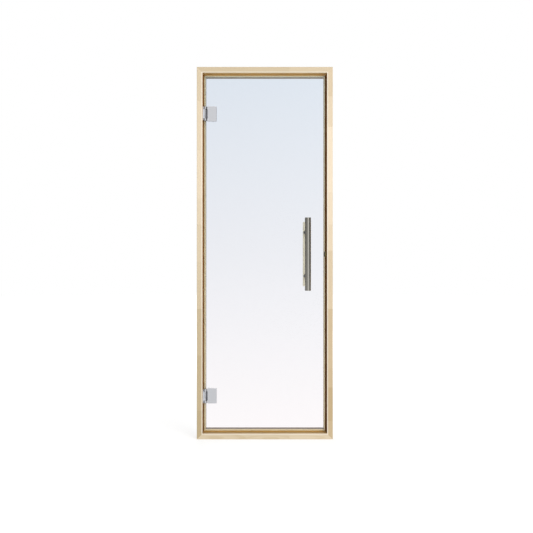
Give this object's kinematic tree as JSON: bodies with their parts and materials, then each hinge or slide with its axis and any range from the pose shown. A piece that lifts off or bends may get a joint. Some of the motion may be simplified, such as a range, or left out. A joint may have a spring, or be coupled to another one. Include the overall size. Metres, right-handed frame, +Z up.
{
  "type": "sauna door",
  "caption": "Glass sauna door in a rebated wood frame, hung on offset glass hinges, with a steel tube handle outside, a wood grip inside and a magnetic catch.",
  "frame": {"origin": "middle of the sill's underside, in line with the stop's face", "axes": "+Z up, -Y towards the outside that the door opens to, +X to the right seen from outside"},
  "size_m": [0.69, 0.129, 1.89],
  "materials": {
    "frame_wood": "planed, oiled pale finger-jointed wood",
    "seal": "soft translucent silicone",
    "hinge_steel": "fine satin",
    "pin_steel": "polished",
    "gasket_rubber": "matte",
    "glass": "clear toughened glass, ground edges",
    "tube_steel": "satin, brushed round the tube",
    "grip_wood": "sanded, rounded",
    "washer_plastic": "translucent",
    "catch_plastic": "moulded",
    "magnet": "plated"
  },
  "bodies": {
    "frame": {"hinge_jamb": "frame_wood", "latch_jamb": "frame_wood", "head_rail": "frame_wood", "sill_rail": "frame_wood", "seal_hinge_side": "seal", "seal_latch_side_lower": "seal", "seal_latch_side_upper": "seal", "seal_head": "seal", "seal_sill": "seal", "catch_housing": "catch_plastic", "catch_magnet": "magnet", "hinge_leaf_lower": "hinge_steel", "hinge_pin_lower": "pin_steel", "hinge_leaf_upper": "hinge_steel", "hinge_pin_upper": "pin_steel"},
    "door": {"glass_pane": "glass", "handle_tube": "tube_steel", "handle_cap_bottom": "tube_steel", "handle_cap_top": "tube_steel", "wooden_grip": "grip_wood", "catch_keeper": "hinge_steel", "hinge_plate_outer_lower": "hinge_steel", "hinge_plate_inner_lower": "hinge_steel", "hinge_gasket_outer_lower": "gasket_rubber", "hinge_gasket_inner_lower": "gasket_rubber", "outer_post_lower": "tube_steel", "inner_post_lower": "tube_steel", "outer_washer_lower": "washer_plastic", "inner_washer_lower": "washer_plastic", "handle_saddle_lower": "tube_steel", "hinge_plate_outer_upper": "hinge_steel", "hinge_plate_inner_upper": "hinge_steel", "hinge_gasket_outer_upper": "gasket_rubber", "hinge_gasket_inner_upper": "gasket_rubber", "outer_post_upper": "tube_steel", "inner_post_upper": "tube_steel", "outer_washer_upper": "washer_plastic", "inner_washer_upper": "washer_plastic", "handle_saddle_upper": "tube_steel"}
  },
  "joints": [
    {"name": "door_swing", "type": "hinge", "parent": "frame", "child": "door", "pos_m": [-0.3052, -0.025, 0.936], "axis": [0, 0, -1], "range_deg": [0, 105]}
  ]
}
